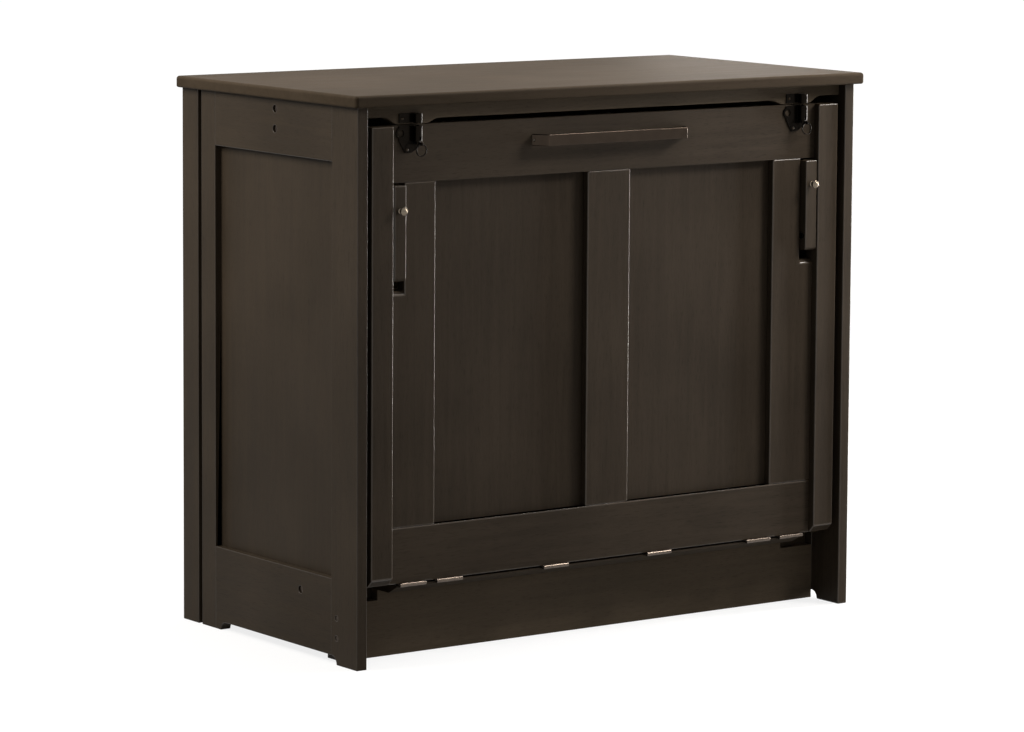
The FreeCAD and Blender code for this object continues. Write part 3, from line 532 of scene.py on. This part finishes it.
def eased_copy(name, body, slot, width, *materials):
    """Stand-in for a board with holes: its straight edges are rounded, its rims stay crisp."""
    mesh, work = joined_copy(name)
    bmesh.ops.dissolve_limit(work, angle_limit=SAME_FACE, verts=work.verts, edges=work.edges)
    weight = work.edges.layers.float.new("bevel_weight_edge")
    for edge in [edge for edge in work.edges if edge.calc_face_angle(0) > SHARP]:
        straight = edge.calc_length() > SHORTEST_BOARD_EDGE
        edge[weight] = float(straight)
        edge.smooth = straight
    work.to_mesh(mesh)
    work.free()
    piece = show(name + "_eased", mesh, *materials)
    bevel = piece.modifiers.new("eased_edges", "BEVEL")
    bevel.width = width
    bevel.segments = BOARD_STEPS
    bevel.limit_method = "WEIGHT"
    bevel.material = EDGE_SLOT
    bevel.face_strength_mode = "FSTR_AFFECTED"
    flat = piece.modifiers.new("flat_faces_stay_flat", "WEIGHTED_NORMAL")
    flat.use_face_influence = True
    flat.keep_sharp = True
    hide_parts(name)
    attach(piece, body)
    return piece


rail = eased_copy("door_top_rail", "door", "stained_frame_wood", FRONT_EASED, espresso["X"],
                  pale["X"])
print(rail.name, "faces:", len(rail.data.polygons))

# %% [markdown]
# ## Hardware
# Every metal piece gets the finish that its real fellow is sold in. The pull is bent from a bar with
# well rounded edges, so its bevel is wide; plates and screws get a quarter of a millimetre, just
# enough for a line of light.

# %% Which metal where
BRIGHT_STEEL = ["handle_screws", "fold_hinge_door_leaves", "fold_hinge_foot_leaves",
                "foot_leg_pins"]
BRONZED = ["stile_pins", "side_bolts"]
HINGES = ["hinge_leaves_fixed", "hinge_leaves_door", "hinge_pins"]
SCREWS = ["keeper_screws", "latch_screws"]
BLACKENED = ["latch_keepers", "latch_bodies", "left_latch_ring", "right_latch_ring",
             "left_latch_bolt", "right_latch_bolt", "leg_bolts"]
KNOBS = ["left_leg_knob", "right_leg_knob"]
FINE_EDGE, SOFT_EDGE, HANDLE_EDGE = 0.25 * MM, 0.3 * MM, 1.9 * MM

for names, finish, width in ((BRIGHT_STEEL, zinc, FINE_EDGE), (BRONZED, bronze, FINE_EDGE),
                             (HINGES, hinge_nickel, FINE_EDGE), (SCREWS, dark_screw, FINE_EDGE),
                             (BLACKENED, black_nickel, SOFT_EDGE), (KNOBS, nickel, SOFT_EDGE)):
    for name in names:
        ease(dress(name, finish), width, SMALL_STEPS)
ease(dress("handle", dark_nickel), HANDLE_EDGE, HANDLE_STEPS)
print("eased solids:", sum("eased_edges" in piece.modifiers for piece in nodes.values()))

# %% [markdown]
# ## Slat screws
# Two countersunk screws hold each end of a slat, and two more hold the middle of each door slat. A
# head is a low dome with a cross recess, whose floor is dark with shadow and oil. Ninety of them are
# wanted, so one small head is worked out as a grid and its numbers are repeated at every place.

# %% Countersunk heads
HEAD_RADIUS, HEAD_RISE = 3.8 * MM, 0.5 * MM
HEAD_RINGS, HEAD_SIDES = 12, 48
HEAD_MIDDLE = 0.1 * MM       # radius of the flat that closes a head
CROSS_ARM, CROSS_REACH, CROSS_DEEP = 0.65 * MM, 2.3 * MM, 0.42 * MM


def screw_heads(name, body, centres, across, out):
    """Heads at centres of shape (n, 3): rise * (1 - (r / R)^2), less the recess under the cross.

    out points away from the slat's face, and across lies in the face, along one arm of the cross.
    """
    across, out, count = np.array(across, float), np.array(out, float), len(centres)
    r = np.linspace(HEAD_MIDDLE, HEAD_RADIUS, HEAD_RINGS)[:, None]
    angle = np.linspace(0, 2 * pi, HEAD_SIDES, endpoint=False)
    x, y = r * np.cos(angle), r * np.sin(angle)
    cross = (np.minimum(abs(x), abs(y)) < CROSS_ARM) & (r < CROSS_REACH)
    height = HEAD_RISE * (1 - (r / HEAD_RADIUS) ** 2) - CROSS_DEEP * cross
    shape = x[..., None] * across + y[..., None] * np.cross(out, across) + height[..., None] * out
    points = (centres[:, None, None] + shape).reshape(-1, 3)
    one = np.arange(HEAD_RINGS * HEAD_SIDES).reshape(HEAD_RINGS, HEAD_SIDES)
    one = np.hstack([one, one[:, :1]])
    quads = np.stack([one[:-1, :-1], one[1:, :-1], one[1:, 1:], one[:-1, 1:]], -1).reshape(-1, 4)
    first = np.arange(count)[:, None] * HEAD_RINGS * HEAD_SIDES      # each head's first point
    faces = (first[:, None] + quads).reshape(-1, 4).tolist()
    middles = (first + np.arange(HEAD_SIDES)).tolist()
    mesh = bpy.data.meshes.new(name)
    mesh.from_pydata(points.tolist(), [], faces + middles)
    piece = show(name, mesh, plated_screw, dark_screw)
    floor_of_cross = np.tile((cross[:-1] & cross[1:]).ravel(), count)
    dark = np.append(floor_of_cross, np.ones(count, bool))
    mesh.polygons.foreach_set("material_index", dark.astype(int))
    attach(piece, body)
    return piece


# %% Places of the screws
SCREW_GAP = 36 * MM                          # between the two screws of a slat's end
PLATFORM_INSET, DOOR_INSET = 11 * MM, 20 * MM     # from a slat's end to its screws


def coordinates(mesh):
    """Vertex places of a mesh as an array of shape (n, 3)."""
    flat = np.empty(len(mesh.vertices) * 3)
    mesh.vertices.foreach_get("co", flat)
    return flat.reshape(-1, 3)


def screw_places(name, stacked, out, inset, middle=()):
    """Pairs of places at both ends of each slat of a node, and at the middle if one is given.

    The slats are stacked along the axis stacked, and their screwed faces look along out.
    """
    turn = np.array(nodes[name].matrix_world)
    points = coordinates(nodes[name].data) @ turn[:3, :3].T + turn[:3, 3]
    low, high = points.min(0), points.max(0)
    edges = np.unique(np.round(points[:, stacked], 4))
    slats = (edges[0::2] + edges[1::2]) / 2
    ends = (low[0] + inset, *middle, high[0] - inset)
    slat, x, gap = np.meshgrid(slats, ends, (-SCREW_GAP / 2, SCREW_GAP / 2), indexing="ij")
    face = int(np.flatnonzero(out)[0])
    places = np.empty((slat.size, 3))
    places[:, 0] = x.ravel()
    places[:, stacked] = (slat + gap).ravel()
    places[:, face] = high[face] if out[face] > 0 else low[face]
    return places


Y, Z = 1, 2
UP, BACKWARD, FORWARD = (0, 0, 1), (0, 1, 0), (0, -1, 0)
deck = screw_places("deck_slats", Y, UP, PLATFORM_INSET)
door = screw_places("door_slats", Z, BACKWARD, DOOR_INSET, (0.0,))
foot = screw_places("foot_slats", Z, FORWARD, PLATFORM_INSET)
screw_heads("deck_slat_screws", "cabinet", deck, (0.8, 0.6, 0), UP)
screw_heads("door_slat_screws", "door", door, (0.6, 0, 0.8), BACKWARD)
screw_heads("foot_slat_screws", "foot_section", foot, (0.9, 0, 0.44), FORWARD)
print("screw heads:", len(deck), len(door), len(foot))

# %% [markdown]
# ## Mattress cover
# Each foam section is sewn into a quilted cotton knit. The quilting crosses it in diagonals, between
# which the cloth rises like small pillows, and the knit itself is fine upright ribs. Both patterns are
# sine waves of the piece's own coordinates, pressed in as bump, because the stitches don't change the
# outline.

# %% Knitted cover
KNIT_RIB = 2.4 * MM          # a real wale is about 1 mm; drawn coarser so that it shows
QUILT = 70 * MM              # from one stitched diagonal to the next
PILLOW_DEEP, RIB_DEEP = 2.0 * MM, 0.3 * MM


def knit(name, colour, quilt_depth):
    """Quilted knit: min |sin| of two diagonals to the power 0.45, plus |sin| ribs and noise."""
    material, tree, shader = new_material(name)
    place = add(tree, "ShaderNodeTexCoord").outputs["Object"]
    axes = add(tree, "ShaderNodeSeparateXYZ", {0: place})
    x, z = axes.outputs["X"], axes.outputs["Z"]

    def wave(value, period):
        """|sin(pi * value / period)|, which is 0 once in every period."""
        turned = add(tree, "ShaderNodeMath", {0: value, 1: pi / period}, operation="MULTIPLY")
        turned = add(tree, "ShaderNodeMath", {0: turned.outputs[0]}, operation="SINE")
        return add(tree, "ShaderNodeMath", {0: turned.outputs[0]}, operation="ABSOLUTE").outputs[0]

    rise = add(tree, "ShaderNodeMath", {0: x, 1: z}, operation="ADD").outputs[0]
    fall = add(tree, "ShaderNodeMath", {0: x, 1: z}, operation="SUBTRACT").outputs[0]
    stitch = add(tree, "ShaderNodeMath", {0: wave(rise, QUILT), 1: wave(fall, QUILT)},
                 operation="MINIMUM")
    pillow = add(tree, "ShaderNodeMath", {0: stitch.outputs[0], 1: 0.45}, operation="POWER")
    loops = add(tree, "ShaderNodeTexNoise", {"Vector": place, "Scale": 1 / KNIT_RIB, "Detail": 3.0})
    fuzz = add(tree, "ShaderNodeMath", {0: wave(x, KNIT_RIB), 1: loops.outputs[0]}, operation="ADD")
    soft = add(tree, "ShaderNodeBump", {"Height": pillow.outputs[0], "Strength": quilt_depth,
                                        "Distance": PILLOW_DEEP})
    fine = add(tree, "ShaderNodeBump", {"Height": fuzz.outputs[0], "Strength": 0.35,
                                        "Distance": RIB_DEEP, "Normal": soft.outputs[0]})
    tree.links.new(fine.outputs[0], shader.inputs["Normal"])
    shade = add(tree, "ShaderNodeMapRange", {"Value": fuzz.outputs[0], "From Min": 0.4,
                                             "From Max": 1.6, "To Min": 0.86, "To Max": 1.0})
    tint = add(tree, "ShaderNodeVectorMath", {0: linear(colour)[:3], "Scale": shade.outputs[0]},
               operation="SCALE")
    tree.links.new(tint.outputs[0], shader.inputs["Base Color"])
    shader.inputs["Roughness"].default_value = 0.85
    shader.inputs["Specular IOR Level"].default_value = 0.2
    shader.inputs["Sheen Weight"].default_value = 0.25
    shader.inputs["Sheen Roughness"].default_value = 0.5
    return material


# Unbleached cotton, knitted and quilted: warm off-white, dull, with a soft light at its rim.
cover = knit("quilted_cotton_knit_cover", "#CFC8BB", 0.8)
# Cotton cord in a brown tape, sewn flat: the dark line that draws each section's outline.
piping = knit("twisted_cotton_piping", "#6E6354", 0.0)
print("cover quilted every, mm:", QUILT / MM)

# %% [markdown]
# ## Mattress sections
# A filled cover isn't a box: its panels crown between the seams. A copy of the foam solid, drawn in a
# little, is remeshed evenly, held along its seams and blown up as cloth. What comes out is capped and
# kept inside the foam's own box, so that nothing touches the folded bed round it.

# %% An even mesh for each section
VOXEL = 10 * MM
DRAWN_IN = (4 * MM, 7 * MM, 4 * MM)      # each side of the start shape, so that it can swell
SECTIONS = ["mattress_head", "mattress_middle", "mattress_foot"]


def even_copy(name):
    """Evenly meshed stand-in for a soft solid, each side drawn in; returns it with the solid's box."""
    mesh, work = joined_copy(name)
    work.to_mesh(mesh)
    work.free()
    points = coordinates(mesh)
    low, high = points.min(0), points.max(0)
    middle, half = (low + high) / 2, (high - low) / 2
    points = middle + (points - middle) * (1 - np.array(DRAWN_IN) / half)
    mesh.vertices.foreach_set("co", points.ravel())
    rough = show(name + "_start", mesh)
    voxels = rough.modifiers.new("even_mesh", "REMESH")
    voxels.mode, voxels.voxel_size = "VOXEL", VOXEL
    bpy.context.view_layer.update()
    graph = bpy.context.evaluated_depsgraph_get()
    even = bpy.data.meshes.new_from_object(rough.evaluated_get(graph))
    bpy.data.objects.remove(rough)
    return show(name + "_cover", even, cover), low, high


pads = [even_copy(name) for name in SECTIONS]
print("cover points:", [len(pad.data.vertices) for pad, low, high in pads])

# %% Blow the covers up
SEAM_REACH = (22 * MM, 10 * MM)          # how far held rows run in from the rim and from the face
PRESSURE, CLOTH_STEPS, FRAMES = 4.0, 5, 20
SWELL_CAP = 9 * MM
BOX_MARGIN = 0.5 * MM


def hold_seams(pad):
    """Pin the rows along both seams, which are near a face and near its rim at the same time."""
    points = coordinates(pad.data)
    inset = np.minimum(points - points.min(0), points.max(0) - points)
    near_rim = np.minimum(inset[:, 0], inset[:, 2]) < SEAM_REACH[0]
    held = near_rim & (inset[:, 1] < SEAM_REACH[1])
    group = pad.vertex_groups.new(name="seams")
    group.add(np.flatnonzero(held).tolist(), 1.0, "REPLACE")
    cloth = pad.modifiers.new("inflate", "CLOTH").settings
    cloth.use_pressure = True
    cloth.uniform_pressure_force = PRESSURE
    cloth.effector_weights.gravity = 0.0
    cloth.vertex_group_mass = group.name
    cloth.quality = CLOTH_STEPS
    return points


def settle(pad, start, low, high):
    """Keep the swollen shape: a move of x becomes cap * tanh(x / cap), inside the solid's box."""
    graph = bpy.context.evaluated_depsgraph_get()
    moved = coordinates(pad.evaluated_get(graph).data) - start
    length = np.maximum(np.linalg.norm(moved, axis=1, keepdims=True), 1e-9)
    points = start + moved * SWELL_CAP * np.tanh(length / SWELL_CAP) / length
    points = np.clip(points, low + BOX_MARGIN, high - BOX_MARGIN)
    pad.modifiers.clear()
    pad.vertex_groups.clear()
    pad.data.vertices.foreach_set("co", points.ravel())
    pad.data.update()
    return length.max(), np.linalg.norm(points - start, axis=1).max()


starts = [hold_seams(pad) for pad, low, high in pads]
for number in range(1, FRAMES + 1):
    bpy.context.scene.frame_set(number)
for (pad, low, high), start in zip(pads, starts):
    free, kept = settle(pad, start, low, high)
    print(pad.name, "swelled, mm: free %.1f kept %.1f" % (free / MM, kept / MM))
bpy.context.scene.frame_set(1)

# %% [markdown]
# ## Piping
# A cord in a tape of cloth is sewn into each seam. Its middle line is a rounded rectangle, dropped on
# the cover so that it follows the swell, and a circle is carried along it.

# %% Piping round both faces
PIPING_RADIUS, PIPING_CORNER = 3.0 * MM, 30 * MM
PIPING_STEP, PIPING_SIDES, CORNER_POINTS = 8 * MM, 10, 12
PIPING_INSET = 9 * MM                    # from the section's face to the seam
SMOOTHINGS = 3                           # passes that take out the steps of the cover's faces


def seam_line(low, high, depth):
    """Rounded rectangle at one depth: four quarter circles, joined by runs cut into even steps."""
    u = np.linspace(0, pi / 2, CORNER_POINTS)
    near, far = low + PIPING_CORNER, high - PIPING_CORNER
    centres = ((far[0], far[2]), (near[0], far[2]), (near[0], near[2]), (far[0], near[2]))
    starts = np.concatenate([
        np.stack([x + PIPING_CORNER * np.cos(u + quarter * pi / 2), np.full(CORNER_POINTS, depth),
                  z + PIPING_CORNER * np.sin(u + quarter * pi / 2)], 1)
        for quarter, (x, z) in enumerate(centres)])
    run = np.roll(starts, -1, axis=0) - starts
    cuts = np.maximum(np.round(np.linalg.norm(run, axis=1) / PIPING_STEP), 1).astype(int)
    number = np.arange(cuts.sum()) - np.repeat(np.cumsum(cuts) - cuts, cuts)
    share = number / np.repeat(cuts, cuts)
    return np.repeat(starts, cuts, axis=0) + np.repeat(run, cuts, axis=0) * share[:, None]


def piping_round(pad, name, depth):
    """Tube along the seam line on the cover: line + radius * (cos v * out + sin v * side)."""
    points = coordinates(pad.data)
    faces = [tuple(face.vertices) for face in pad.data.polygons]
    surface = BVHTree.FromPolygons(points.tolist(), faces)
    line = seam_line(points.min(0), points.max(0), depth)
    laid = np.array([[*surface.find_nearest(place)[0]] for place in line.tolist()])
    for _ in range(SMOOTHINGS):
        laid = (np.roll(laid, 1, 0) + 2 * laid + np.roll(laid, -1, 0)) / 4
    along = np.roll(laid, -1, 0) - np.roll(laid, 1, 0)
    along /= np.linalg.norm(along, axis=1, keepdims=True)
    side = np.tile((0.0, 1.0, 0.0), (len(laid), 1))
    out = np.cross(side, along)          # in this order the tube's faces look outwards
    out /= np.linalg.norm(out, axis=1, keepdims=True)
    v = np.linspace(0, 2 * pi, PIPING_SIDES, endpoint=False)[None, :, None]
    ring = laid[:, None] + PIPING_RADIUS * (np.cos(v) * out[:, None] + np.sin(v) * side[:, None])
    return show(name, grid_mesh(name, ring, closed_u=True, closed_v=True), piping)


# %% Finish the sections
for (pad, low, high), name in zip(pads, SECTIONS):
    finer = pad.modifiers.new("finer", "SUBSURF")
    finer.levels = finer.render_levels = 1
    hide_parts(name)
    pieces = [pad]
    for side, depth in (("front", low[1] + PIPING_INSET), ("back", high[1] - PIPING_INSET)):
        pieces.append(piping_round(pad, name + "_piping_" + side, depth))
    for piece in pieces:
        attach(piece, "cabinet")
    print(name, "points of cover and piping:", [len(piece.data.vertices) for piece in pieces])
